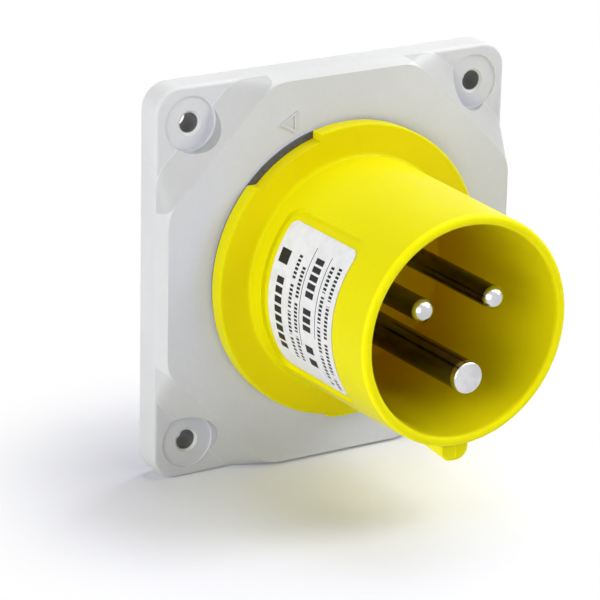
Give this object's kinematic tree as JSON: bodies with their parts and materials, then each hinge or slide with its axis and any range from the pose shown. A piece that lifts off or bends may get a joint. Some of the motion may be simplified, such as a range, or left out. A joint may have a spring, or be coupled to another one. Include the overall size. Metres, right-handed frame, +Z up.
{
  "type": "pin-and-earth panel inlet",
  "caption": "Panel inlet with a square grey flange, a yellow round shroud with a key below and three contact pins inside.",
  "frame": {"origin": "centre of the flange's rear plane, on the inlet axis", "axes": "+Z up with the key and the earth pin below; the mating side looks towards -Y; +X is to the right seen from the front"},
  "size_m": [0.0886, 0.0782, 0.0886],
  "materials": {
    "grey_plastic": "satin",
    "yellow_plastic": "satin",
    "dark_plastic": "matte",
    "seal_rubber": "matte",
    "label_film": "satin",
    "plated_brass": "polished",
    "plated_steel": "satin"
  },
  "bodies": {
    "root": {"mounting_flange": "grey_plastic", "flange_gasket": "seal_rubber", "housing_seal": "seal_rubber", "inlet_housing": "yellow_plastic", "rating_label": "label_film", "contact_carrier": "dark_plastic", "line_pin": "plated_brass", "neutral_pin": "plated_brass", "earth_pin": "plated_brass", "line_wire_guard": "plated_steel", "neutral_wire_guard": "plated_steel", "earth_wire_guard": "plated_steel", "terminal_screws": "plated_steel", "carrier_screws": "plated_steel"}
  },
  "joints": []
}
